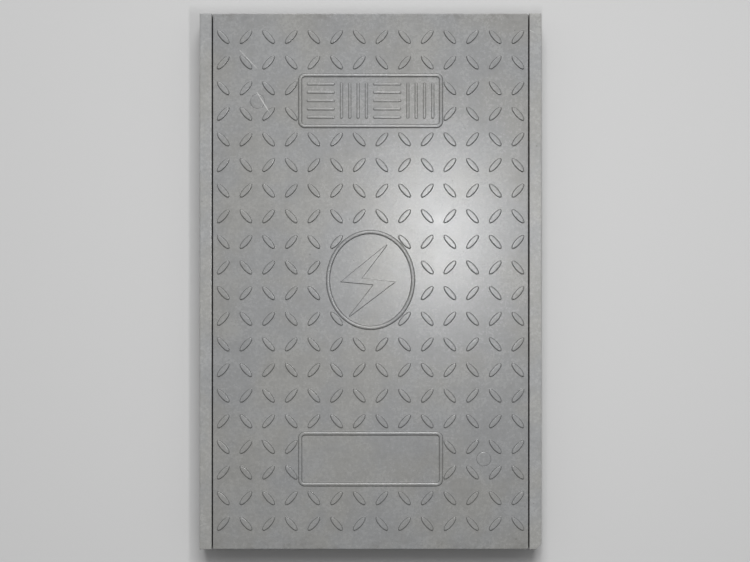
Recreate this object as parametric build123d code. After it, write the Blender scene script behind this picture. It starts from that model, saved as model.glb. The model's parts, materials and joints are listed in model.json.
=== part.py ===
from build123d import *
import os

os.makedirs("parts", exist_ok=True)

# ---------------------------------------------------------------------------
# Rectangular composite manhole cover seated in a two-rail frame.
# Millimetres. Origin at the centre of the footprint, on the bedding plane.
# +X across the cover, +Y along it, +Z up.
# ---------------------------------------------------------------------------

# overall
OVERALL_X = 510.0          # over the two rails
OVERALL_Y = 800.0          # length of cover and rails
DECK_Z = 67.0              # walking plane and top of the rails
RELIEF_H = 2.5             # height of lugs, ring and panel borders

# cover
GAP = 1.2                  # clearance between cover and each rail
RAIL_W = 18.0              # width of the rail upstand
COVER_X = OVERALL_X - 2 * RAIL_W - 2 * GAP      # 471.6
COVER_Z0 = 17.0            # underside of the cover skirt
DECK_T = 10.0              # plate thickness
SKIRT_T = 16.0
RIB_T = 14.0
RIB_Z0 = 22.0              # underside of the ribs
RIB_XS = (-150.0, -75.0, 0.0, 75.0, 150.0)
RIB_PITCH_Y = 78.2
RIB_YS = tuple(RIB_PITCH_Y * k for k in range(-4, 5))
POCKET_DRAFT = 2.0
POCKET_R = 8.0
EDGE_C = 0.6               # edge chamfers

# reinforcement
TBAR_R, TBAR_Z, TBAR_L = 5.0, 31.0, 452.0
LBAR_R, LBAR_Z, LBAR_L = 4.0, 41.0, 784.0
CAST_FIT = 0.05            # play modelled round everything moulded in

# lifting sockets and plugs
LIFT_POINTS = ((-168.8, 268.3), (168.8, -265.3))
BOSS_R = 25.0
SOCKET_R, SOCKET_BORE_R = 13.0, 8.5
SOCKET_Z0, SOCKET_Z1, SOCKET_FLOOR = 25.0, 61.0, 38.0
SEAT_R = 10.9              # counterbore for the plug cap
CAP_R, STEM_R, STEM_Z0 = 10.82, 8.42, 49.0
CAP_PROUD = 0.3            # the plug caps stand this much above the deck
PIN_R, PIN_L, PIN_Z = 4.0, 42.0, 31.0

# tread lugs
LUG_COLS, LUG_ROWS = 14, 20
LUG_X0, LUG_DX = -219.7, 33.8
LUG_Y0, LUG_DY = 364.5, 38.21
LUG_A, LUG_B, LUG_ANGLE = 13.1, 4.6, 48.5
LUG_DRAFT = 0.55

# panels and ring
PANEL_X, PANEL_Y, PANEL_R = 216.0, 82.0, 10.0
PANEL_CY = (269.5, -264.8)
RIDGE_W = 6.0
RING_A, RING_B, RING_CY = 66.4, 74.4, 2.0
BOLT = ((24.2, 54.2), (-44.9, -0.8), (3.9, -5.3),
        (-31.6, -52.3), (37.3, -0.8), (-13.0, 4.4))
BOLT_H = 1.5
WEAVE_PITCH, WEAVE_H, WEAVE_W = 49.5, 1.3, 4.4

# frame
LEDGE_IN = 190.0           # inner edge of the rail ledge
LEDGE_T = 14.0
KEY_W, KEY_D, KEY_ZS = 8.0, 4.0, (24.0, 46.0)
SILL_Y = 362.0             # inner edge of the end sills
LAP_T = 7.0                # thickness of each half of the corner laps
LAP_X = 230.0
CORNER_C = 8.0             # knocked-off corner on the right rail
ANCHOR_X, ANCHOR_Y, ANCHOR_R, ANCHOR_CSK_R = 202.0, 300.0, 5.5, 10.0
SCREW_XS, SCREW_Y = (199.0, 221.0), 381.0
SCREW_R, SCREW_HEAD_R, SCREW_HEAD_H = 4.0, 8.0, 4.4
INSERT_R = 5.5
GASKET_X = (214.0, 233.0)
PAD_Y, PAD_X = (380.0, 398.0), 211.0


def save(shape, name):
    shape.label = name
    export_step(shape, "parts/" + name + ".step")
    print(name, round(shape.volume, 1))


def block(x0, x1, y0, y1, z0, z1):
    """Axis-aligned block from its six planes."""
    return Pos((x0 + x1) / 2, (y0 + y1) / 2, (z0 + z1) / 2) * Box(
        abs(x1 - x0), abs(y1 - y0), abs(z1 - z0))


def rod(x, y, z0, z1, r):
    """Upright cylinder."""
    return Pos(x, y, (z0 + z1) / 2) * Cylinder(r, z1 - z0)


def rod_x(y, z, length, r):
    return Pos(0, y, z) * Rot(0, 90, 0) * Cylinder(r, length)


def rod_y(x, y, z, length, r):
    return Pos(x, y, z) * Rot(90, 0, 0) * Cylinder(r, length)


def on_top(solid, z):
    """Edges of a solid that lie in the plane at height z."""
    return [e for e in solid.edges()
            if abs(e.bounding_box().min.Z - z) < 1e-4 and abs(e.bounding_box().max.Z - z) < 1e-4]


# ---------------------------------------------------------------------------
# Cover deck: plate, skirt, ribs, bosses, all moulded in one
# ---------------------------------------------------------------------------
hx, hy = COVER_X / 2, OVERALL_Y / 2

deck = block(-hx, hx, -hy, hy, COVER_Z0, DECK_Z)
deck = chamfer(on_top(deck, DECK_Z), EDGE_C)

# underside: shallow recess inside the skirt, then the waffle pockets
recess = Pos(0, 0, COVER_Z0 - 1) * extrude(
    RectangleRounded(COVER_X - 2 * SKIRT_T, OVERALL_Y - 2 * SKIRT_T, POCKET_R),
    RIB_Z0 - COVER_Z0 + 1)

x_lines = [-hx + SKIRT_T - RIB_T / 2] + list(RIB_XS) + [hx - SKIRT_T + RIB_T / 2]
y_lines = [-hy + SKIRT_T - RIB_T / 2] + list(RIB_YS) + [hy - SKIRT_T + RIB_T / 2]

pockets = []
pocket_cache = {}
pocket_h = DECK_Z - DECK_T - RIB_Z0
for xa, xb in zip(x_lines[:-1], x_lines[1:]):
    for ya, yb in zip(y_lines[:-1], y_lines[1:]):
        w = round(xb - xa - RIB_T, 3)
        l = round(yb - ya - RIB_T, 3)
        if (w, l) not in pocket_cache:
            p = extrude(RectangleRounded(w, l, POCKET_R), pocket_h, taper=POCKET_DRAFT)
            p = fillet(on_top(p, pocket_h), 3.0)
            p = p + Pos(0, 0, -1) * extrude(RectangleRounded(w, l, POCKET_R), 1.0)
            pocket_cache[(w, l)] = p
        pockets.append(Pos((xa + xb) / 2, (ya + yb) / 2, RIB_Z0) * pocket_cache[(w, l)])

deck = deck - recess
deck = deck - pockets

# solid bosses round the two lifting sockets, filled in to the nearer ribs
bosses = []
for lx, ly in LIFT_POINTS:
    s = -1.0 if lx < 0 else 1.0
    boss = rod(lx, ly, RIB_Z0, DECK_Z - DECK_T + 1.0, BOSS_R)
    # towards the middle of the cover in x, and towards the nearer transverse rib in y
    boss = boss + block(lx + s * BOSS_R, lx - s * 18.0, ly, ly + s * 30.0, RIB_Z0, DECK_Z - DECK_T + 1.0)
    bosses.append(boss)
deck = deck + bosses

# seats for the moulded-in bars, sockets and cross pins, and the plug seats
cavities = []
for y in RIB_YS:
    cavities.append(rod_x(y, TBAR_Z, TBAR_L + 2 * CAST_FIT, TBAR_R + CAST_FIT))
for x in RIB_XS:
    cavities.append(rod_y(x, 0, LBAR_Z, LBAR_L + 2 * CAST_FIT, LBAR_R + CAST_FIT))
deck = deck - cavities

for lx, ly in LIFT_POINTS:
    seat = rod(lx, ly, SOCKET_Z0, SOCKET_Z1, SOCKET_R + CAST_FIT)
    seat = seat + rod(lx, ly, SOCKET_Z1 - 1.0, DECK_Z + 1.0, SEAT_R)
    seat = seat + rod_y(lx, ly, PIN_Z, PIN_L + 2 * CAST_FIT, PIN_R + CAST_FIT)
    deck = deck - seat

# ---- relief on the top face -------------------------------------------------
SINK = 1.0                 # how far each relief shape runs down into the plate


def ridge(outer, inner, height):
    r = extrude(outer - inner, height + SINK)
    r = Pos(0, 0, DECK_Z - SINK) * r
    return fillet(on_top(r, DECK_Z + height), 1.2)


relief = []

# ring, with the lightning flash inside it
ring = ridge(Ellipse(RING_A, RING_B), Ellipse(RING_A - RIDGE_W, RING_B - RIDGE_W), RELIEF_H)
relief.append(Pos(0, RING_CY, 0) * ring)

flash = extrude(make_face(Polyline(*BOLT, close=True)), BOLT_H + SINK)
flash = Pos(0, 0, DECK_Z - SINK) * flash
flash = chamfer(on_top(flash, DECK_Z + BOLT_H), 0.5)
relief.append(flash)

# the two bordered panels
border = ridge(RectangleRounded(PANEL_X, PANEL_Y, PANEL_R),
               RectangleRounded(PANEL_X - 2 * RIDGE_W, PANEL_Y - 2 * RIDGE_W, PANEL_R - RIDGE_W),
               RELIEF_H)
for cy in PANEL_CY:
    relief.append(Pos(0, cy, 0) * border)

# basket-weave bars in the upper panel
bar_h = extrude(SlotOverall(42.0, WEAVE_W), WEAVE_H + SINK)
bar_v = extrude(Rot(0, 0, 90) * SlotOverall(54.0, WEAVE_W), WEAVE_H + SINK)
for i in range(4):
    cx = (i - 1.5) * WEAVE_PITCH
    if i % 2 == 0:
        for k in range(5):
            relief.append(Pos(cx, PANEL_CY[0] + (k - 2) * 12.4, DECK_Z - SINK) * bar_h)
    else:
        for k in range(4):
            relief.append(Pos(cx + (k - 1.5) * 12.4, PANEL_CY[0], DECK_Z - SINK) * bar_v)

# tread lugs, alternating in direction, left out under the panels and the ring
HIDDEN = set()
for r in (2, 3, 16, 17):
    HIDDEN |= {(r, c) for c in range(4, 10)}
for r in (8, 11):
    HIDDEN |= {(r, c) for c in (6, 7)}
for r in (9, 10):
    HIDDEN |= {(r, c) for c in range(5, 9)}
CLIPPED = {(8, 5), (8, 8), (11, 5), (11, 8)}

lug_h = RELIEF_H + SINK
lug = loft([
    Ellipse(LUG_A + LUG_DRAFT * SINK / RELIEF_H, LUG_B + LUG_DRAFT * SINK / RELIEF_H),
    Pos(0, 0, lug_h) * Ellipse(LUG_A - LUG_DRAFT, LUG_B - LUG_DRAFT)])
lug_back = Rot(0, 0, -LUG_ANGLE) * lug     # leans "\"
lug_fwd = Rot(0, 0, LUG_ANGLE) * lug       # leans "/"
ring_core = Pos(0, RING_CY, DECK_Z - SINK - 1) * extrude(
    Ellipse(RING_A - RIDGE_W / 2, RING_B - RIDGE_W / 2), 8.0)

for r in range(LUG_ROWS):
    for c in range(LUG_COLS):
        if (r, c) in HIDDEN:
            continue
        one = lug_back if (r + c) % 2 == 0 else lug_fwd
        one = Pos(LUG_X0 + LUG_DX * c, LUG_Y0 - LUG_DY * r, DECK_Z - SINK) * one
        if (r, c) in CLIPPED:
            one = one - ring_core
        relief.append(one)

deck = deck + relief
deck = deck.solids().sort_by(SortBy.VOLUME)[-1] if len(deck.solids()) > 1 else deck.solids()[0]
save(deck, "cover_deck")

# ---------------------------------------------------------------------------
# Reinforcement bars in the ribs
# ---------------------------------------------------------------------------
for i, y in enumerate(RIB_YS):
    save(rod_x(y, TBAR_Z, TBAR_L, TBAR_R), "transverse_bar_%d" % (i + 1))
for i, x in enumerate(RIB_XS):
    save(rod_y(x, 0, LBAR_Z, LBAR_L, LBAR_R), "longitudinal_bar_%d" % (i + 1))

# ---------------------------------------------------------------------------
# Lifting sockets, their cross pins, and the plugs that close them
# ---------------------------------------------------------------------------
for i, (lx, ly) in enumerate(LIFT_POINTS):
    n = i + 1
    s = rod(lx, ly, SOCKET_Z0, SOCKET_Z1, SOCKET_R)
    s = s - rod(lx, ly, SOCKET_FLOOR, SOCKET_Z1 + 1, SOCKET_BORE_R)
    s = s - rod_y(lx, ly, PIN_Z, 4 * SOCKET_R, PIN_R + CAST_FIT)
    save(s.solids()[0], "lift_socket_%d" % n)

    save(rod_y(lx, ly, PIN_Z, PIN_L, PIN_R), "socket_pin_%d" % n)

    cap = rod(lx, ly, SOCKET_Z1, DECK_Z + CAP_PROUD, CAP_R)
    cap = fillet(on_top(cap, DECK_Z + CAP_PROUD), 0.6)
    stem = rod(lx, ly, STEM_Z0, SOCKET_Z1 + 0.5, STEM_R)
    stem = chamfer([e for e in stem.edges() if abs(e.center().Z - STEM_Z0) < 1e-4], 1.2)
    plug = cap + stem
    # grease groove round the stem
    groove = rod(lx, ly, 53.0, 55.0, STEM_R + 1) - rod(lx, ly, 52.5, 55.5, STEM_R - 0.7)
    plug = plug - groove
    save(plug.solids()[0], "lift_plug_%d" % n)

# ---------------------------------------------------------------------------
# Side rails: L section with keyed outer faces
# ---------------------------------------------------------------------------
ox = OVERALL_X / 2
web_in = ox - RAIL_W


def rail(side):
    """side = -1 left, +1 right."""
    section = make_face(Polyline(
        (LEDGE_IN, 0), (ox, 0), (ox, DECK_Z), (web_in, DECK_Z),
        (web_in, LEDGE_T), (LEDGE_IN, LEDGE_T), close=True))
    body = Pos(0, hy, 0) * extrude(Rot(90, 0, 0) * section, OVERALL_Y, dir=(0, -1, 0))
    # root fillet between ledge and upstand
    root = [e for e in body.edges()
            if abs(e.center().X - web_in) < 1e-3 and abs(e.center().Z - LEDGE_T) < 1e-3]
    body = fillet(root, 3.0)
    body = chamfer([e for e in on_top(body, DECK_Z)], EDGE_C)
    # mortar keys
    for kz in KEY_ZS:
        key = make_face(Polyline(
            (ox + 1, kz - KEY_W / 2 - 0.5), (ox - KEY_D, kz - KEY_W / 2 + 1.5),
            (ox - KEY_D, kz + KEY_W / 2 - 1.5), (ox + 1, kz + KEY_W / 2 + 0.5), close=True))
        body = body - Pos(0, hy + 1, 0) * extrude(Rot(90, 0, 0) * key, OVERALL_Y + 2, dir=(0, -1, 0))
    cuts = []
    for e in (-1, 1):
        # half of each corner lap
        cuts.append(block(LEDGE_IN - 1, LAP_X + 0.5,
                          e * (SILL_Y - 0.5), e * (hy + 1), LEDGE_T - LAP_T, LEDGE_T + 1))
        # anchor holes, countersunk
        cuts.append(rod(ANCHOR_X, e * ANCHOR_Y, -1, LEDGE_T + 1, ANCHOR_R))
        csk = Pos(ANCHOR_X, e * ANCHOR_Y, LEDGE_T - (ANCHOR_CSK_R - ANCHOR_R) / 2) * Cone(
            ANCHOR_R, ANCHOR_CSK_R, ANCHOR_CSK_R - ANCHOR_R)
        cuts.append(csk)
        # seats for the threaded inserts
        for sx in SCREW_XS:
            cuts.append(rod(sx, e * SCREW_Y, -1, LAP_T + 0.5, INSERT_R + CAST_FIT))
    body = body - cuts
    if side < 0:
        body = mirror(body, about=Plane.YZ)
    else:
        cut = make_face(Polyline((ox - CORNER_C, -hy - 1), (ox - CORNER_C, -hy),
                                 (ox, -hy + CORNER_C), (ox + 1, -hy + CORNER_C),
                                 (ox + 1, -hy - 1), close=True))
        body = body - Pos(0, 0, -1) * extrude(cut, DECK_Z + 3)
    return body.solids()[0]


save(rail(-1), "rail_left")
save(rail(1), "rail_right")

# ---------------------------------------------------------------------------
# End sills, lapped onto the rail ledges
# ---------------------------------------------------------------------------


def sill(e):
    body = block(-LEDGE_IN + 0.2, LEDGE_IN - 0.2, e * SILL_Y, e * hy, 0, LEDGE_T)
    tongue = block(-LAP_X, LAP_X, e * SILL_Y, e * hy, LAP_T, LEDGE_T)
    body = body + tongue
    cuts = []
    for s in (-1, 1):
        for sx in SCREW_XS:
            cuts.append(rod(s * sx, e * SCREW_Y, LAP_T - 1, LEDGE_T + 1, SCREW_R + 0.4))
            cuts.append(Pos(s * sx, e * SCREW_Y, LEDGE_T - SCREW_HEAD_H / 2) * Cone(
                SCREW_R, SCREW_HEAD_R, SCREW_HEAD_H))
    body = body - cuts
    return body.solids()[0]


save(sill(-1), "end_sill_front")
save(sill(1), "end_sill_back")

# ---------------------------------------------------------------------------
# Tie screws and the threaded inserts they run into
# ---------------------------------------------------------------------------
screws, inserts = [], []
for e in (-1, 1):
    for s in (-1, 1):
        for sx in SCREW_XS:
            x, y = s * sx, e * SCREW_Y
            head = Pos(x, y, LEDGE_T - SCREW_HEAD_H / 2) * Cone(SCREW_R, SCREW_HEAD_R, SCREW_HEAD_H)
            shank = rod(x, y, 0.6, LEDGE_T - SCREW_HEAD_H + 0.2, SCREW_R)
            socket = Pos(x, y, LEDGE_T - 2.6) * extrude(RegularPolygon(2.9, 6), 4.0)
            one = (head + shank) - socket
            screws.append(one.solids()[0])
            ins = rod(x, y, 0, LAP_T, INSERT_R) - rod(x, y, -1, LAP_T + 1, SCREW_R + CAST_FIT)
            inserts.append(ins.solids()[0])
save(Compound(children=screws), "tie_screws")
save(Compound(children=inserts), "tie_inserts")

# ---------------------------------------------------------------------------
# Rubber seats between frame and cover
# ---------------------------------------------------------------------------
save(block(-GASKET_X[1], -GASKET_X[0], -hy + 1, hy - 1, LEDGE_T, COVER_Z0), "seat_gasket_left")
save(block(GASKET_X[0], GASKET_X[1], -hy + 1, hy - 1, LEDGE_T, COVER_Z0), "seat_gasket_right")
save(block(-PAD_X, PAD_X, -PAD_Y[1], -PAD_Y[0], LEDGE_T, COVER_Z0), "seat_pad_front")
save(block(-PAD_X, PAD_X, PAD_Y[0], PAD_Y[1], LEDGE_T, COVER_Z0), "seat_pad_back")
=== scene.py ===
import json
import math

import bpy
import numpy as np
from mathutils import Matrix, Vector
from mathutils.geometry import delaunay_2d_cdt

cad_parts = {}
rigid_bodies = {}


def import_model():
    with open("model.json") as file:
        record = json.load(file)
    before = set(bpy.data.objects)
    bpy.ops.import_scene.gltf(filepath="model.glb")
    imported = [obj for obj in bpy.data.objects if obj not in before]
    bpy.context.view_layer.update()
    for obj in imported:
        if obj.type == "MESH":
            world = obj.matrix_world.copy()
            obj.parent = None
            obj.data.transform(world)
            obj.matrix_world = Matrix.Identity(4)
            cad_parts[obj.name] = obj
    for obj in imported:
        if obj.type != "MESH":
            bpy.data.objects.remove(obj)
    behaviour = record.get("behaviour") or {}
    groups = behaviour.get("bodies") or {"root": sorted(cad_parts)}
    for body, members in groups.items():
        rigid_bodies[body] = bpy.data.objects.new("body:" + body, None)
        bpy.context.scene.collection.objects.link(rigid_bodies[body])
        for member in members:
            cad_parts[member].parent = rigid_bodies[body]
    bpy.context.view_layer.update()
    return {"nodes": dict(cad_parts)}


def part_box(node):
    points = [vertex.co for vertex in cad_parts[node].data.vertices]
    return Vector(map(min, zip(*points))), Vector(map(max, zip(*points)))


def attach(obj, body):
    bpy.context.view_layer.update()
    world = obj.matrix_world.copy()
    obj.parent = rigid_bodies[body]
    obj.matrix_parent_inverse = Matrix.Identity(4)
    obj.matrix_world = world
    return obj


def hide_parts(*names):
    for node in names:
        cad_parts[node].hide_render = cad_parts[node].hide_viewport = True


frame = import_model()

N = frame["nodes"]
MM = 0.001

# ===========================================================================
# Dimensions, in millimetres, in the row frame
# ===========================================================================
deck_lo, deck_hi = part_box("cover_deck")
HX = deck_hi[0] / MM                       # half width of the cover
HY = deck_hi[1] / MM                       # half length
DECK_Z = 67.0
RELIEF = 2.5
COVER_Z0 = 17.0
RIB_Z0 = 22.0
POCKET_TOP = 57.0
SKIRT = 16.0
RIB = 14.0
RIB_XS = (-150.0, -75.0, 0.0, 75.0, 150.0)
RIB_YS = tuple(78.2 * k for k in range(-4, 5))
LIFT_POINTS = ((-168.8, 268.3), (168.8, -265.3))
LUG_X0, LUG_DX, LUG_Y0, LUG_DY = -219.7, 33.8, 364.5, 38.21
LUG_A, LUG_B, LUG_ANGLE = 13.1, 4.6, 48.5
PANEL_X, PANEL_Y, PANEL_R = 216.0, 82.0, 10.0
PANEL_CY = (269.5, -264.8)
RIDGE_W = 6.0
RING_A, RING_B, RING_CY = 66.4, 74.4, 2.0
BOLT = ((24.2, 54.2), (-44.9, -0.8), (3.9, -5.3),
        (-31.6, -52.3), (37.3, -0.8), (-13.0, 4.4))
BOLT_H = 1.5
WEAVE_PITCH, WEAVE_H, WEAVE_W = 49.5, 1.3, 4.4


# ===========================================================================
# Contours: every function returns an n x 2 array, counter-clockwise
# ===========================================================================
def ellipse(a, b, n):
    t = np.linspace(0, 2 * math.pi, n, endpoint=False)
    return np.stack([a * np.cos(t), b * np.sin(t)], 1)


def ellipse_even(a, b, n):
    """Ellipse with its points spread evenly along the curve, tips a little denser."""
    t = np.linspace(0, 2 * math.pi, 4001)
    ds = np.hypot(a * np.sin(t), b * np.cos(t))
    curv = (a * b) / np.maximum((a * np.sin(t)) ** 2 + (b * np.cos(t)) ** 2, 1e-9) ** 1.5
    w = ds * (1.0 + 6.0 * curv)
    s = np.concatenate([[0], np.cumsum((w[1:] + w[:-1]) / 2)])
    ti = np.interp(np.linspace(0, s[-1], n, endpoint=False), s, t)
    return ti


def rrect(w, h, r, seg=8, side=6):
    """Rounded rectangle with seg pieces to a corner and side pieces to a side."""
    pts = []
    hw, hh = w / 2, h / 2
    corners = ((hw - r, hh - r, 0), (-hw + r, hh - r, 90), (-hw + r, -hh + r, 180), (hw - r, -hh + r, 270))
    for i, (cx, cy, a0) in enumerate(corners):
        arc = [(cx + r * math.cos(math.radians(a0 + 90 * k / seg)),
                cy + r * math.sin(math.radians(a0 + 90 * k / seg))) for k in range(seg + 1)]
        pts.extend(arc)
        nx, ny, na = corners[(i + 1) % 4]
        end = (nx + r * math.cos(math.radians(na)), ny + r * math.sin(math.radians(na)))
        for k in range(1, side):
            f = k / side
            pts.append((arc[-1][0] * (1 - f) + end[0] * f, arc[-1][1] * (1 - f) + end[1] * f))
    return np.array(pts)


def stadium(length, width, along_y=False, seg=8, side=6):
    r = width / 2
    h = (length - width) / 2
    pts = []
    for k in range(seg + 1):
        a = -math.pi / 2 + math.pi * k / seg
        pts.append((h + r * math.cos(a), r * math.sin(a)))
    for k in range(1, side):
        pts.append((h - 2 * h * k / side, r))
    for k in range(seg + 1):
        a = math.pi / 2 + math.pi * k / seg
        pts.append((-h + r * math.cos(a), r * math.sin(a)))
    for k in range(1, side):
        pts.append((-h + 2 * h * k / side, -r))
    p = np.array(pts)
    return np.stack([-p[:, 1], p[:, 0]], 1) if along_y else p


def grow(poly, d):
    """Counter-clockwise polygon moved outwards by d at every side."""
    p = np.asarray(poly, float)
    prev, nxt = np.roll(p, 1, 0), np.roll(p, -1, 0)
    e0, e1 = p - prev, nxt - p
    e0 /= np.linalg.norm(e0, axis=1)[:, None]
    e1 /= np.linalg.norm(e1, axis=1)[:, None]
    n0 = np.stack([e0[:, 1], -e0[:, 0]], 1)
    n1 = np.stack([e1[:, 1], -e1[:, 0]], 1)
    m = n0 + n1
    m /= np.maximum(np.sum(m * n0, axis=1), 0.12)[:, None]
    return p + d * m


def turn(p, deg):
    c, s = math.cos(math.radians(deg)), math.sin(math.radians(deg))
    return np.stack([p[:, 0] * c - p[:, 1] * s, p[:, 0] * s + p[:, 1] * c], 1)


# ===========================================================================
# A mesh made of rings
# ===========================================================================
class Shell:
    def __init__(self):
        self.v, self.f, self.n = [], [], 0

    def ring(self, pts, z):
        pts = np.asarray(pts, float)
        self.v.append(np.column_stack([pts, np.full(len(pts), float(z))]))
        ids = np.arange(self.n, self.n + len(pts))
        self.n += len(pts)
        return ids

    def ring3(self, pts):
        pts = np.asarray(pts, float)
        self.v.append(pts)
        ids = np.arange(self.n, self.n + len(pts))
        self.n += len(pts)
        return ids

    def bridge(self, a, b):
        """Quads from ring a to ring b. Both run counter-clockwise seen from the side the faces show to
        when b lies inside a, or above it."""
        a2, b2 = np.roll(a, -1), np.roll(b, -1)
        self.f.extend(np.stack([a, a2, b2, b], 1).tolist())

    def loft(self, rings):
        for a, b in zip(rings[:-1], rings[1:]):
            self.bridge(a, b)

    def cap(self, ring, up=True):
        r = list(map(int, ring))
        self.f.append(r if up else r[::-1])

    def strip(self, ring):
        """Closes a long narrow ring with quads across it."""
        r = list(map(int, ring))
        n = len(r)
        for i in range(n // 2 - 1):
            q = [r[i], r[i + 1], r[n - 2 - i], r[n - 1 - i]]
            if len(set(q)) == 4:
                self.f.append(q)
            elif len(set(q)) == 3:
                self.f.append([k for j, k in enumerate(q) if k not in q[:j]])

    def plane(self, outer, holes, up=True):
        """Flat face between one outer ring and any number of holes, all at one height."""
        allv = np.concatenate(self.v)
        groups = ([outer] if outer is not None else []) + list(holes)
        ids = np.concatenate(groups)
        owner = np.concatenate([np.full(len(g), k) for k, g in enumerate(groups)])
        edges, k = [], 0
        for g in groups:
            n = len(g)
            edges += [(k + i, k + (i + 1) % n) for i in range(n)]
            k += n
        xy = allv[ids][:, :2]
        out = delaunay_2d_cdt([Vector(p) for p in xy], edges, [], 1, 1e-6)
        verts, faces, orig = out[0], out[2], out[3]
        if len(verts) != len(xy):
            print("CDT vertex count changed", len(xy), len(verts))
        back = [o[0] if len(o) else -1 for o in orig]
        polys = [allv[g][:, :2] for g in groups]
        boxes = [(p.min(0), p.max(0)) for p in polys]
        first_hole = 1 if outer is not None else 0
        for f in faces:
            src = [back[i] for i in f]
            if -1 in src:
                continue
            own = {int(owner[i]) for i in src}
            if len(own) == 1:
                g = own.pop()
                if g >= first_hole:
                    c = xy[src].mean(0)
                    if inside(c, polys[g]):
                        continue
            tri = [int(ids[i]) for i in src]
            p = allv[tri][:, :2]
            area = (p[1][0] - p[0][0]) * (p[2][1] - p[0][1]) - (p[2][0] - p[0][0]) * (p[1][1] - p[0][1])
            if (area > 0) != up:
                tri = tri[::-1]
            self.f.append(tri)

    def object(self, name, smooth=35.0):
        verts = np.concatenate(self.v) * MM
        me = bpy.data.meshes.new(name)
        me.from_pydata(verts.tolist(), [], [list(map(int, f)) for f in self.f])
        me.validate()
        me.update()
        print("mesh", name, "triangles", sum(len(p.vertices) - 2 for p in me.polygons))
        for p in me.polygons:
            p.use_smooth = True
        me.set_sharp_from_angle(angle=math.radians(smooth))
        ob = bpy.data.objects.new(name, me)
        bpy.context.scene.collection.objects.link(ob)
        return ob


def inside(c, poly):
    x, y = c
    a, b = poly, np.roll(poly, -1, 0)
    hit = (a[:, 1] > y) != (b[:, 1] > y)
    with np.errstate(divide="ignore", invalid="ignore"):
        xi = (b[:, 0] - a[:, 0]) * (y - a[:, 1]) / (b[:, 1] - a[:, 1]) + a[:, 0]
    return bool(np.sum(hit & (x < xi)) % 2)


# ===========================================================================
# Cover deck
# ===========================================================================
LUG_PROFILE = ((-0.44, 0.0), (-0.26, 0.0), (0.0, 0.15), (0.24, 0.65), (0.56, 1.55),
               (0.86, 2.2), (1.25, 2.45), (1.9, 2.5), (2.9, 2.5))
RIDGE_PROFILE = ((-0.44, 0.0), (-0.26, 0.0), (0.0, 0.18), (0.24, 0.7), (0.5, 1.35),
                 (0.85, 1.9), (1.35, 2.25), (2.1, 2.45), (3.0, 2.5))
BAR_PROFILE = ((-0.4, 0.0), (-0.2, 0.0), (0.02, 0.14), (0.25, 0.5), (0.55, 0.95), (0.95, 1.2), (1.5, 1.3))
BOLT_PROFILE = ((-0.75, 0.0), (-0.5, 0.0), (-0.24, 0.14), (-0.04, 0.6), (0.2, 1.25), (0.4, 1.45), (0.54, 1.5), (0.74, 1.5))

HIDDEN = set()
for r_ in (2, 3, 16, 17):
    HIDDEN |= {(r_, c_) for c_ in range(4, 10)}
for r_ in (8, 11):
    HIDDEN |= {(r_, c_) for c_ in (6, 7)}
for r_ in (9, 10):
    HIDDEN |= {(r_, c_) for c_ in range(5, 9)}


def round_tips(poly, half=0.8, max_deg=40.0, n=4):
    """Blunt the acute corners of a polygon with small arcs."""
    p = [np.array(q, float) for q in poly]
    out = []
    for i, q in enumerate(p):
        a, b = p[i - 1], p[(i + 1) % len(p)]
        u, w = (a - q) / np.linalg.norm(a - q), (b - q) / np.linalg.norm(b - q)
        ang = math.degrees(math.acos(np.clip(np.dot(u, w), -1, 1)))
        cross = (q - a)[0] * (b - q)[1] - (q - a)[1] * (b - q)[0]
        if cross > 0 and ang < max_deg:
            bis = (u + w) / np.linalg.norm(u + w)
            c = q + bis * half
            t0 = math.atan2(-bis[1], -bis[0])
            for k in range(n + 1):
                t = t0 - math.pi / 2 + math.pi * k / n
                out.append(c + half * np.array([math.cos(t), math.sin(t)]))
        else:
            out.append(q)
    return np.array(out)


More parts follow.
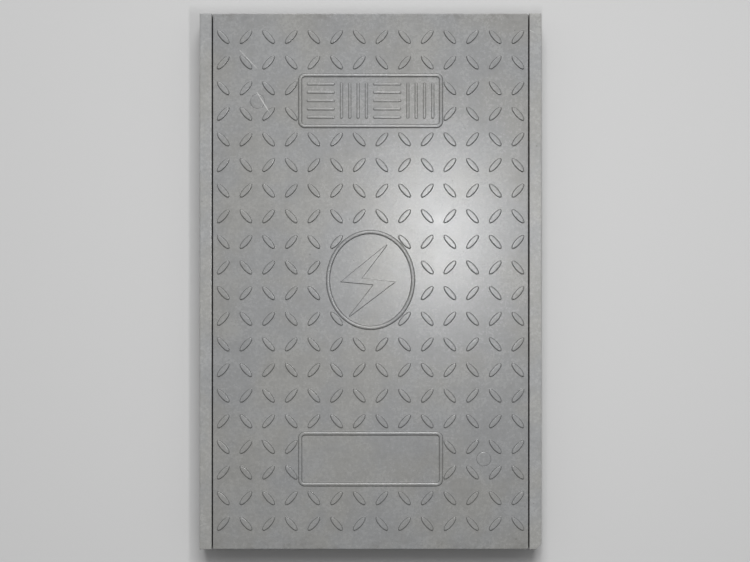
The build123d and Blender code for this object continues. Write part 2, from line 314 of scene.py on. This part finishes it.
def build_deck():
    s = Shell()
    top_holes = []

    # outer wall: top edge, side, bottom edge
    wall = ((1.7, DECK_Z), (1.25, DECK_Z), (0.95, DECK_Z - 0.1), (0.72, DECK_Z - 0.45), (0.5, DECK_Z - 1.4),
            (0.2, DECK_Z - 3.2), (0.0, DECK_Z - 4.6), (0.0, 42.0), (0.0, COVER_Z0 + 1.3), (0.12, COVER_Z0 + 0.7),
            (0.5, COVER_Z0 + 0.2), (1.0, COVER_Z0), (1.6, COVER_Z0))
    rings = [s.ring(rrect(2 * HX - 2 * d, 2 * HY - 2 * d, max(3.0 - d, 0.8), 6, 40), z) for d, z in wall]
    for a, b in zip(rings[:-1], rings[1:]):
        s.bridge(b, a)
    outer_top, outer_bottom = rings[0], rings[-1]

    # tread lugs
    ti = ellipse_even(LUG_A, LUG_B, 30)
    for r in range(20):
        for c in range(14):
            if (r, c) in HIDDEN:
                continue
            ang = -LUG_ANGLE if (r + c) % 2 == 0 else LUG_ANGLE
            # tiny mould-to-mould differences
            k = (r * 37 + c * 91) % 17 / 17.0 - 0.5
            cx, cy = LUG_X0 + LUG_DX * c, LUG_Y0 - LUG_DY * r
            rs = []
            for d, h in LUG_PROFILE:
                p = np.stack([(LUG_A - d) * np.cos(ti), (LUG_B - d) * np.sin(ti)], 1)
                p = turn(p, ang + 0.6 * k) + (cx, cy)
                rs.append(s.ring(p, DECK_Z + h))
            s.loft(rs)
            s.cap(rs[-1])
            top_holes.append(rs[0])

    # ring
    rs = []
    n = 180
    for d, h in RIDGE_PROFILE:
        rs.append(s.ring(ellipse(RING_A - d, RING_B - d, n) + (0, RING_CY), DECK_Z + h))
    for d, h in RIDGE_PROFILE[-2::-1]:
        e = RIDGE_W - d
        rs.append(s.ring(ellipse(RING_A - e, RING_B - e, n) + (0, RING_CY), DECK_Z + h))
    s.loft(rs)
    top_holes.append(rs[0])
    ring_inner = rs[-1]

    # lightning flash inside the ring
    flash = round_tips(BOLT)
    rs = [s.ring(grow(flash, -d), DECK_Z + h) for d, h in BOLT_PROFILE]
    s.loft(rs)
    s.plane(rs[-1], [])
    s.plane(ring_inner, [rs[0]])

    # panels
    for pi, cy in enumerate(PANEL_CY):
        rs = []
        prof = list(RIDGE_PROFILE)
        for d, h in prof:
            rs.append(s.ring(rrect(PANEL_X - 2 * d, PANEL_Y - 2 * d, max(PANEL_R - d, 1.0), 10, 14) + (0, cy), DECK_Z + h))
        for d, h in prof[-2::-1]:
            e = RIDGE_W - d
            rs.append(s.ring(rrect(PANEL_X - 2 * e, PANEL_Y - 2 * e, max(PANEL_R - e, 1.0), 10, 14) + (0, cy), DECK_Z + h))
        s.loft(rs)
        top_holes.append(rs[0])
        inner = rs[-1]
        holes = []
        if pi == 0:
            for i in range(4):
                bx = (i - 1.5) * WEAVE_PITCH
                spots = [(bx, cy + (k - 2) * 12.4, False) for k in range(5)] if i % 2 == 0 else \
                        [(bx + (k - 1.5) * 12.4, cy, True) for k in range(4)]
                for x, y, vert in spots:
                    length = 54.0 if vert else 42.0
                    rr = [s.ring(stadium(length - 2 * d, WEAVE_W - 2 * d, vert) + (x, y), DECK_Z + h)
                          for d, h in BAR_PROFILE]
                    s.loft(rr)
                    s.cap(rr[-1])
                    holes.append(rr[0])
        s.plane(inner, holes)

    # plug seats and the sockets' room below them
    for lx, ly in LIFT_POINTS:
        prof = ((11.4, DECK_Z), (11.15, DECK_Z), (11.0, DECK_Z - 0.05), (10.93, DECK_Z - 0.16),
                (10.9, DECK_Z - 0.4), (10.9, 61.0), (13.05, 61.0), (13.05, 25.0), (2.0, 25.0))
        rr = [s.ring(ellipse(q, q, 48) + (lx, ly), z) for q, z in prof]
        s.loft(rr)
        s.cap(rr[-1])
        top_holes.append(rr[0])

    s.plane(outer_top, top_holes)

    # ---- underside ---------------------------------------------------------
    rw, rh = 2 * HX - 2 * SKIRT, 2 * HY - 2 * SKIRT
    rec = ((-0.8, COVER_Z0), (-0.3, COVER_Z0 + 0.1), (0.0, COVER_Z0 + 0.6), (0.1, RIB_Z0 - 0.9), (0.5, RIB_Z0 - 0.2), (1.0, RIB_Z0))
    rs = [s.ring(rrect(rw - 2 * d, rh - 2 * d, 8.0 - d, 6, 40), z) for d, z in rec]
    for a, b in zip(rs[:-1], rs[1:]):
        s.bridge(b, a)
    s.plane(outer_bottom, [rs[0]], up=False)
    recess_top = rs[-1]

    x_lines = [-HX + SKIRT - RIB / 2] + list(RIB_XS) + [HX - SKIRT + RIB / 2]
    y_lines = [-HY + SKIRT - RIB / 2] + list(RIB_YS) + [HY - SKIRT + RIB / 2]
    pocket_prof = ((-0.9, RIB_Z0), (-0.35, RIB_Z0 + 0.12), (0.0, RIB_Z0 + 0.7), (1.0, POCKET_TOP - 3.2),
                   (1.5, POCKET_TOP - 1.4), (2.6, POCKET_TOP - 0.3), (4.0, POCKET_TOP))
    under = []
    for xa, xb in zip(x_lines[:-1], x_lines[1:]):
        for ya, yb in zip(y_lines[:-1], y_lines[1:]):
            w, l = xb - xa - RIB, yb - ya - RIB
            cx, cy = (xa + xb) / 2, (ya + yb) / 2
            # at the skirt the pocket wall runs straight into the recess wall
            boss = None
            for lx, ly in LIFT_POINTS:
                if xa < lx < xb and ya < ly < yb or (abs(cx - lx) < 30 and abs(cy - ly) < 20):
                    boss = (lx, ly)
            rs = []
            for d, z in pocket_prof:
                if boss:
                    base = boss_pocket(cx, cy, w, l, boss)
                    rs.append(s.ring(grow(base, -d), z))
                else:
                    rs.append(s.ring(rrect(w - 2 * d, l - 2 * d, max(8.0 - d, 3.0), 5, 2) + (cx, cy), z))
            for a, b in zip(rs[:-1], rs[1:]):
                s.bridge(b, a)
            if boss:
                s.plane(rs[-1], [], up=False)
            else:
                s.cap(rs[-1], up=False)
            under.append(rs[0])
    s.plane(recess_top, under, up=False)
    return s.object("deck_moulding")


def boss_pocket(cx, cy, w, l, boss):
    """What is left of a pocket beside the solid boss round a lifting socket, counter-clockwise."""
    lx, ly = boss
    sx = -1.0 if lx < 0 else 1.0
    # built for the left-hand socket and turned half round for the right-hand one
    bx, by = lx * -sx, ly * -sx
    px, py = cx * -sx, cy * -sx
    x0, x1, y0, y1 = px - w / 2, px + w / 2, py - l / 2, py + l / 2
    R, r = 25.0, 8.0
    pts = []

    def arc(ax, ay, rr, a0, a1, n):
        for k in range(n + 1):
            a = math.radians(a0 + (a1 - a0) * k / n)
            pts.append((ax + rr * math.cos(a), ay + rr * math.sin(a)))

    gap = 6.0
    # left side, downwards
    arc(x0 + r, y1 - r, r, 90, 180, 6)
    arc(x0 + r, y0 + r, r, 180, 270, 6)
    # bottom, to the boss
    arc(bx - R - 4.0, y0 + 4.0, 4.0, 270, 360, 4)
    # up beside the boss and round its top
    arc(bx, by, R, 180, 75, 14)
    arc(x1 - 4.0, y1 - 4.0, 4.0, 0, 90, 4)
    p = np.array(pts)
    if sx > 0:
        p = -p
    return p


deck = build_deck()
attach(deck, "cover")
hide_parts("cover_deck")


def build_plug(name, lx, ly):
    """Turned plug: crowned cap with a soft rim, grooved stem with a lead-in."""
    s = Shell()
    prof = ((8.0, 67.3), (9.4, 67.27), (10.2, 67.2), (10.6, 67.06), (10.78, 66.84), (10.82, 66.5),
            (10.82, 61.5), (10.72, 61.12), (10.5, 61.0), (8.8, 61.0), (8.42, 60.8), (8.42, 55.1), (8.3, 55.0),
            (7.72, 54.9), (7.72, 53.1), (8.3, 53.0), (8.42, 52.9), (8.42, 50.3), (8.2, 49.8), (7.3, 49.05), (6.9, 49.0))
    rings = [s.ring(ellipse(q, q, 64) + (lx, ly), z) for q, z in prof]
    inner = [s.ring(ellipse(q, q, 64) + (lx, ly), z) for q, z in ((4.0, 67.3),)]
    s.cap(inner[0])
    s.bridge(rings[0], inner[0])
    for a, b in zip(rings[:-1], rings[1:]):
        s.bridge(b, a)
    s.cap(rings[-1], up=False)
    return s.object(name, 40.0)


for k, (lx_, ly_) in enumerate(LIFT_POINTS):
    plug = build_plug("plug_turned_%d" % (k + 1), lx_, ly_)
    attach(plug, "plug_%d" % (k + 1))
    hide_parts("lift_plug_%d" % (k + 1))


# ===========================================================================
# Materials
# ===========================================================================
class Mat:
    def __init__(self, name):
        self.m = bpy.data.materials.new(name)
        self.m.use_nodes = True
        self.t = self.m.node_tree
        self.t.nodes.clear()
        self.out = self.t.nodes.new("ShaderNodeOutputMaterial")
        self.bsdf = self.t.nodes.new("ShaderNodeBsdfPrincipled")
        self.t.links.new(self.bsdf.outputs[0], self.out.inputs[0])
        self.coord = self.t.nodes.new("ShaderNodeTexCoord")
        self.obj = self.coord.outputs["Object"]

    def set(self, key, value):
        self.bsdf.inputs[key].default_value = value

    def link(self, a, b):
        self.t.links.new(a, b)

    def mapping(self, scale=(1, 1, 1), rot=(0, 0, 0), loc=(0, 0, 0)):
        n = self.t.nodes.new("ShaderNodeMapping")
        n.inputs["Scale"].default_value = scale
        n.inputs["Rotation"].default_value = rot
        n.inputs["Location"].default_value = loc
        self.link(self.obj, n.inputs["Vector"])
        return n.outputs[0]

    def noise(self, scale, detail=4.0, rough=0.55, vec=None, distortion=0.0):
        n = self.t.nodes.new("ShaderNodeTexNoise")
        n.inputs["Scale"].default_value = scale
        n.inputs["Detail"].default_value = detail
        n.inputs["Roughness"].default_value = rough
        n.inputs["Distortion"].default_value = distortion
        self.link(vec if vec is not None else self.obj, n.inputs["Vector"])
        return n.outputs["Fac"]

    def voronoi(self, scale, vec=None, feature="F1", rand=1.0):
        n = self.t.nodes.new("ShaderNodeTexVoronoi")
        n.feature = feature
        n.inputs["Scale"].default_value = scale
        n.inputs["Randomness"].default_value = rand
        self.link(vec if vec is not None else self.obj, n.inputs["Vector"])
        return n.outputs["Distance"]

    def ramp(self, fac, lo, hi, a=0.0, b=1.0):
        n = self.t.nodes.new("ShaderNodeMapRange")
        n.interpolation_type = "SMOOTHSTEP"
        n.inputs["From Min"].default_value = lo
        n.inputs["From Max"].default_value = hi
        n.inputs["To Min"].default_value = a
        n.inputs["To Max"].default_value = b
        self.link(fac, n.inputs["Value"])
        return n.outputs["Result"]

    def math(self, op, a, b=None, c=None):
        n = self.t.nodes.new("ShaderNodeMath")
        n.operation = op
        for i, x in enumerate((a, b, c)):
            if x is None:
                continue
            if isinstance(x, (int, float)):
                n.inputs[i].default_value = x
            else:
                self.link(x, n.inputs[i])
        return n.outputs[0]

    def mix(self, fac, a, b, blend="MIX"):
        n = self.t.nodes.new("ShaderNodeMix")
        n.data_type = "RGBA"
        n.blend_type = blend
        if isinstance(fac, (int, float)):
            n.inputs[0].default_value = fac
        else:
            self.link(fac, n.inputs[0])
        for sock, x in ((n.inputs[6], a), (n.inputs[7], b)):
            if isinstance(x, (tuple, list)):
                sock.default_value = (x[0], x[1], x[2], 1.0)
            else:
                self.link(x, sock)
        return n.outputs[2]

    def bump(self, height, distance, strength=1.0, normal=None):
        n = self.t.nodes.new("ShaderNodeBump")
        n.inputs["Distance"].default_value = distance
        n.inputs["Strength"].default_value = strength
        self.link(height, n.inputs["Height"])
        if normal is not None:
            self.link(normal, n.inputs["Normal"])
        return n.outputs[0]

    def normal_z(self):
        g = self.t.nodes.new("ShaderNodeNewGeometry")
        x = self.t.nodes.new("ShaderNodeSeparateXYZ")
        self.link(g.outputs["Normal"], x.inputs[0])
        return x.outputs[2]

    def xyz(self):
        x = self.t.nodes.new("ShaderNodeSeparateXYZ")
        self.link(self.obj, x.inputs[0])
        return x.outputs

    def scratch(self, xyz, p, q, half):
        """1 along a scratch from p to q (mm), fading out at half its width."""
        (x0, y0), (x1, y1) = p, q
        L = math.hypot(x1 - x0, y1 - y0)
        ux, uy = (x1 - x0) / L, (y1 - y0) / L
        dx = self.math("SUBTRACT", xyz[0], x0 * MM)
        dy = self.math("SUBTRACT", xyz[1], y0 * MM)
        along = self.math("ADD", self.math("MULTIPLY", dx, ux), self.math("MULTIPLY", dy, uy))
        across = self.math("ABSOLUTE", self.math("SUBTRACT", self.math("MULTIPLY", dx, -uy), self.math("MULTIPLY", dy, -ux)))
        on = self.ramp(across, half * MM, 0.0)
        a = self.ramp(along, -1.0 * MM, 2.0 * MM)
        b = self.ramp(along, (L + 1.0) * MM, (L - 4.0) * MM)
        return self.math("MULTIPLY", on, self.math("MULTIPLY", a, b))


def composite(name, base, wall_shade_and_grime=True, scratches=(), rough=0.25):
    """Moulded mineral-filled composite: grey, faintly mottled, fine speckle, satin sheen."""
    m = Mat(name)
    g = base
    cool = (g * 0.983, g * 0.999, g * 1.008)
    warm = (g * 1.014, g * 1.010, g * 0.972)
    # broad clouds, faintly blue and faintly yellow
    big = m.noise(11.0, 3.0, 0.55, m.mapping(loc=(0.31, 0.17, 0)))
    col = m.mix(m.ramp(big, 0.38, 0.64), cool, warm)
    # blotches from a hand down to a fingertip
    mid = m.noise(24.0, 5.0, 0.6, m.mapping(loc=(1.7, 0.4, 0)))
    col = m.mix(1.0, col, m.mix(m.ramp(mid, 0.30, 0.70), (0.945, 0.945, 0.945), (1.05, 1.05, 1.05)), "MULTIPLY")
    fine = m.noise(230.0, 4.0, 0.65)
    col = m.mix(1.0, col, m.mix(m.ramp(fine, 0.30, 0.72), (0.91, 0.91, 0.91), (1.07, 1.07, 1.07)), "MULTIPLY")
    grain = m.noise(1100.0, 2.0, 0.7)
    col = m.mix(1.0, col, m.mix(m.ramp(grain, 0.3, 0.7), (0.93, 0.93, 0.93), (1.06, 1.06, 1.06)), "MULTIPLY")
    # pale mineral flecks and a few dark specks
    fleck = m.ramp(m.voronoi(330.0), 0.20, 0.10)
    pick = m.ramp(m.noise(330.0, 0.0, 0.5), 0.56, 0.64)
    col = m.mix(m.math("MULTIPLY", m.math("MULTIPLY", fleck, pick), 0.16), col, (g * 1.6, g * 1.6, g * 1.57))
    speck = m.ramp(m.voronoi(46.0, m.mapping(loc=(0.77, 0.31, 0.0))), 0.075, 0.035)
    pick2 = m.ramp(m.noise(9.0, 1.0, 0.5, m.mapping(loc=(3.7, 0, 0))), 0.53, 0.60)
    col = m.mix(m.math("MULTIPLY", m.math("MULTIPLY", speck, pick2), 0.55), col, (g * 0.28, g * 0.27, g * 0.25))
    if wall_shade_and_grime:
        # painted shade and grime on the walls of the relief: every steep wall is darkened, standing in partly for the
        # shade that falls on it and partly for dirt
        wall = m.ramp(m.normal_z(), 0.90, 0.55)
        col = m.mix(m.math("MULTIPLY", wall, 0.42), col, (g * 0.26, g * 0.26, g * 0.26))
    xyz = m.xyz()
    # dirt that has dried along the two short edges
    edge = m.ramp(m.math("ABSOLUTE", xyz[1]), 0.380, 0.399)
    patch = m.ramp(m.noise(55.0, 4.0, 0.65, m.mapping(loc=(0.0, 2.3, 0.0))), 0.50, 0.66)
    col = m.mix(m.math("MULTIPLY", m.math("MULTIPLY", edge, patch), 0.34), col, (g * 0.45, g * 0.43, g * 0.39))
    mask = None
    for p, q, half in scratches:
        s = m.scratch(xyz, p, q, half)
        mask = s if mask is None else m.math("MAXIMUM", mask, s)
    if mask is not None:
        broken = m.ramp(m.noise(420.0, 2.0, 0.6), 0.30, 0.48)
        mask = m.math("MULTIPLY", mask, broken)
        col = m.mix(m.math("MULTIPLY", mask, 0.92), col, (g * 2.5, g * 2.5, g * 2.45))
    # faint handling scuffs, long and thin
    sc = m.noise(30.0, 6.0, 0.7, m.mapping(scale=(1.0, 9.0, 1.0), rot=(0, 0, 0.8)))
    scuff = m.ramp(sc, 0.66, 0.76)
    col = m.mix(m.math("MULTIPLY", scuff, 0.10), col, (g * 1.6, g * 1.6, g * 1.58))
    m.link(col, m.bsdf.inputs["Base Color"])
    # the sheen breaks up with the blotches, the grain and the scuffs
    rr = m.math("ADD", m.math("MULTIPLY", mid, 0.09), rough - 0.045)
    rr = m.math("ADD", rr, m.math("MULTIPLY", m.ramp(fine, 0.3, 0.7), 0.03))
    rr = m.math("ADD", rr, m.math("MULTIPLY", scuff, 0.08))
    m.link(rr, m.bsdf.inputs["Roughness"])
    m.set("Specular IOR Level", 0.5)
    b1 = m.bump(m.noise(30.0, 3.0, 0.5), 0.0006, 0.3)
    b2 = m.bump(fine, 0.00014, 0.5, b1)
    b3 = m.bump(grain, 0.00003, 0.6, b2)
    m.link(b3, m.bsdf.inputs["Normal"])
    return m.m


def rubber():
    m = Mat("seat_epdm")
    grain = m.noise(1400.0, 3.0, 0.6)
    dust = m.ramp(m.noise(60.0, 5.0, 0.65), 0.50, 0.78)
    col = m.mix(m.math("MULTIPLY", dust, 0.5), (0.018, 0.018, 0.019), (0.075, 0.072, 0.066))
    rib = m.xyz()
    m.link(col, m.bsdf.inputs["Base Color"])
    m.link(m.math("ADD", m.math("MULTIPLY", dust, 0.15), 0.62), m.bsdf.inputs["Roughness"])
    m.link(m.bump(grain, 0.00008, 0.7), m.bsdf.inputs["Normal"])
    return m.m


def steel(name, colour, rust, rough):
    m = Mat(name)
    streak = m.noise(160.0, 4.0, 0.6, m.mapping(scale=(1.0, 1.0, 5.0)))
    spot = m.noise(90.0, 5.0, 0.65)
    c = m.mix(m.ramp(streak, 0.3, 0.7), tuple(k * 0.85 for k in colour), tuple(min(1, k * 1.1) for k in colour))
    r = m.math("MULTIPLY", m.ramp(spot, 0.52, 0.68), rust)
    c = m.mix(r, c, (0.16, 0.06, 0.025))
    m.link(c, m.bsdf.inputs["Base Color"])
    m.link(m.ramp(r, 0.0, 1.0, 1.0, 0.15), m.bsdf.inputs["Metallic"])
    m.link(m.math("ADD", m.math("MULTIPLY", streak, 0.16), m.math("ADD", m.math("MULTIPLY", r, 0.3), rough)), m.bsdf.inputs["Roughness"])
    m.link(m.bump(m.noise(700.0, 3.0, 0.6), 0.00005, 0.6), m.bsdf.inputs["Normal"])
    return m.m


DECK_SCRATCHES = (
    ((-195.5, 345.1), (-168.7, 316.7), 0.7),
    ((-169.5, 282.0), (-151.0, 252.0), 0.95),
)
RAIL_SCRATCHES = (
    ((236.7, 374.9), (245.5, 370.5), 0.5),
)

# the third argument gives the deck's relief walls their painted shade and grime
mat_deck = composite("deck_composite_mat", 0.211, True, DECK_SCRATCHES)
mat_rail = composite("rail_composite_mat", 0.265, False, RAIL_SCRATCHES)
mat_sill = composite("sill_composite_mat", 0.19, False, (), 0.4)
mat_plug = composite("plug_mat", 0.207, False, DECK_SCRATCHES[:2])
mat_rubber = rubber()
mat_rebar = steel("rebar_mat", (0.20, 0.19, 0.18), 0.9, 0.42)
mat_zinc = steel("zinc_mat", (0.55, 0.56, 0.57), 0.12, 0.28)


def paint(ob, mat):
    ob.data.materials.clear()
    ob.data.materials.append(mat)


paint(deck, mat_deck)
for k in (1, 2):
    paint(bpy.data.objects["plug_turned_%d" % k], mat_plug)
for name, ob in N.items():
    if name == "cover_deck":
        paint(ob, mat_deck)
    elif name.startswith("rail_"):
        paint(ob, mat_rail)
    elif name.startswith("end_sill"):
        paint(ob, mat_sill)
    elif name.startswith("lift_plug"):
        paint(ob, mat_plug)
    elif name.startswith("seat_"):
        paint(ob, mat_rubber)
    elif "_bar_" in name:
        paint(ob, mat_rebar)
    else:
        paint(ob, mat_zinc)


# soft, slightly worn edges on the carried-over mouldings
def soften(ob, width, segments=2, angle=32.0):
    w = ob.modifiers.new("weld", "WELD")
    w.merge_threshold = 1e-6
    b = ob.modifiers.new("soft_edges", "BEVEL")
    b.width = width
    b.segments = segments
    b.limit_method = "ANGLE"
    b.angle_limit = math.radians(angle)
    for p in ob.data.polygons:
        p.use_smooth = False


for name in ("rail_left", "rail_right"):
    soften(N[name], 0.0005)
for name in ("end_sill_front", "end_sill_back"):
    soften(N[name], 0.0006)


# ===========================================================================
# Floor, light, camera
# ===========================================================================
def floor():
    me = bpy.data.meshes.new("floor")
    k = 12.0
    me.from_pydata([(-k, -k, 0), (k, -k, 0), (k, k, 0), (-k, k, 0)], [], [(0, 1, 2, 3)])
    ob = bpy.data.objects.new("floor", me)
    bpy.context.scene.collection.objects.link(ob)
    m = Mat("floor_mat")
    m.set("Base Color", (0.515, 0.515, 0.515, 1.0))
    m.set("Roughness", 0.9)
    m.set("Specular IOR Level", 0.1)
    me.materials.append(m.m)


floor()


def area(name, loc, target, size, power, size_y=None, colour=(1, 1, 1)):
    l = bpy.data.lights.new(name, "AREA")
    l.shape = "RECTANGLE"
    l.size = size
    l.size_y = size_y or size
    l.energy = power
    l.color = colour
    o = bpy.data.objects.new(name, l)
    o.location = loc
    d = Vector(target) - Vector(loc)
    o.rotation_euler = d.to_track_quat("-Z", "Y").to_euler()
    bpy.context.scene.collection.objects.link(o)
    return o


area("key", (0.2, 4.5, 7.1), (0, 0, 0.06), 3.6, 510.0, 3.2)
sheen = area("sheen", (0.144, 0.108, 1.27), (0.144, 0.108, 0.0), 0.07, 3.8, 0.26)
glow = area("glow", (-0.06, 0.12, 3.6), (-0.03, 0.05, 0.06), 0.9, 5.2, 1.3)
for o in (sheen, glow):
    o.visible_camera = False

world = bpy.data.worlds.new("studio")
world.use_nodes = True
wt = world.node_tree
wt.nodes.clear()
w_out = wt.nodes.new("ShaderNodeOutputWorld")
w_bg = wt.nodes.new("ShaderNodeBackground")
w_sky = wt.nodes.new("ShaderNodeBackground")
w_mix = wt.nodes.new("ShaderNodeMixShader")
w_path = wt.nodes.new("ShaderNodeLightPath")
w_co = wt.nodes.new("ShaderNodeTexCoord")
w_sep = wt.nodes.new("ShaderNodeSeparateXYZ")
wt.links.new(w_co.outputs["Generated"], w_sep.inputs[0])
w_up = wt.nodes.new("ShaderNodeMapRange")
w_up.inputs["From Min"].default_value = 0.0
w_up.inputs["From Max"].default_value = 0.9
w_up.inputs["To Min"].default_value = 0.16
w_up.inputs["To Max"].default_value = 0.62
wt.links.new(w_sep.outputs[2], w_up.inputs["Value"])
w_y = wt.nodes.new("ShaderNodeMapRange")
w_y.inputs["From Min"].default_value = -1.0
w_y.inputs["From Max"].default_value = 1.0
w_y.inputs["To Min"].default_value = 0.30
w_y.inputs["To Max"].default_value = 1.40
wt.links.new(w_sep.outputs[1], w_y.inputs["Value"])
w_mul = wt.nodes.new("ShaderNodeMath")
w_mul.operation = "MULTIPLY"
wt.links.new(w_up.outputs["Result"], w_mul.inputs[0])
wt.links.new(w_y.outputs["Result"], w_mul.inputs[1])
wt.links.new(w_mul.outputs[0], w_bg.inputs["Strength"])
w_sky.inputs["Color"].default_value = (0.62, 0.62, 0.62, 1.0)
w_sky.inputs["Strength"].default_value = 1.0
wt.links.new(w_path.outputs["Is Camera Ray"], w_mix.inputs[0])
wt.links.new(w_bg.outputs[0], w_mix.inputs[1])
wt.links.new(w_sky.outputs[0], w_mix.inputs[2])
wt.links.new(w_mix.outputs[0], w_out.inputs[0])
bpy.context.scene.world = world

cam_data = bpy.data.cameras.new("camera")
cam = bpy.data.objects.new("camera", cam_data)
bpy.context.scene.collection.objects.link(cam)
CAM_D = 3.0
LOOK = Vector((0.0066, 0.0004, DECK_Z * MM))
cam.location = LOOK + Vector((0.0, 0.0, CAM_D))
cam.rotation_euler = (0.0, 0.0, 0.0)
cam_data.sensor_width = 36.0
cam_data.sensor_fit = "HORIZONTAL"
cam_data.lens = 36.0 * CAM_D / 1.1187
cam_data.clip_end = 50.0
cam_data.dof.use_dof = False
bpy.context.scene.camera = cam
bpy.context.scene.view_settings.view_transform = "Standard"

# ===========================================================================
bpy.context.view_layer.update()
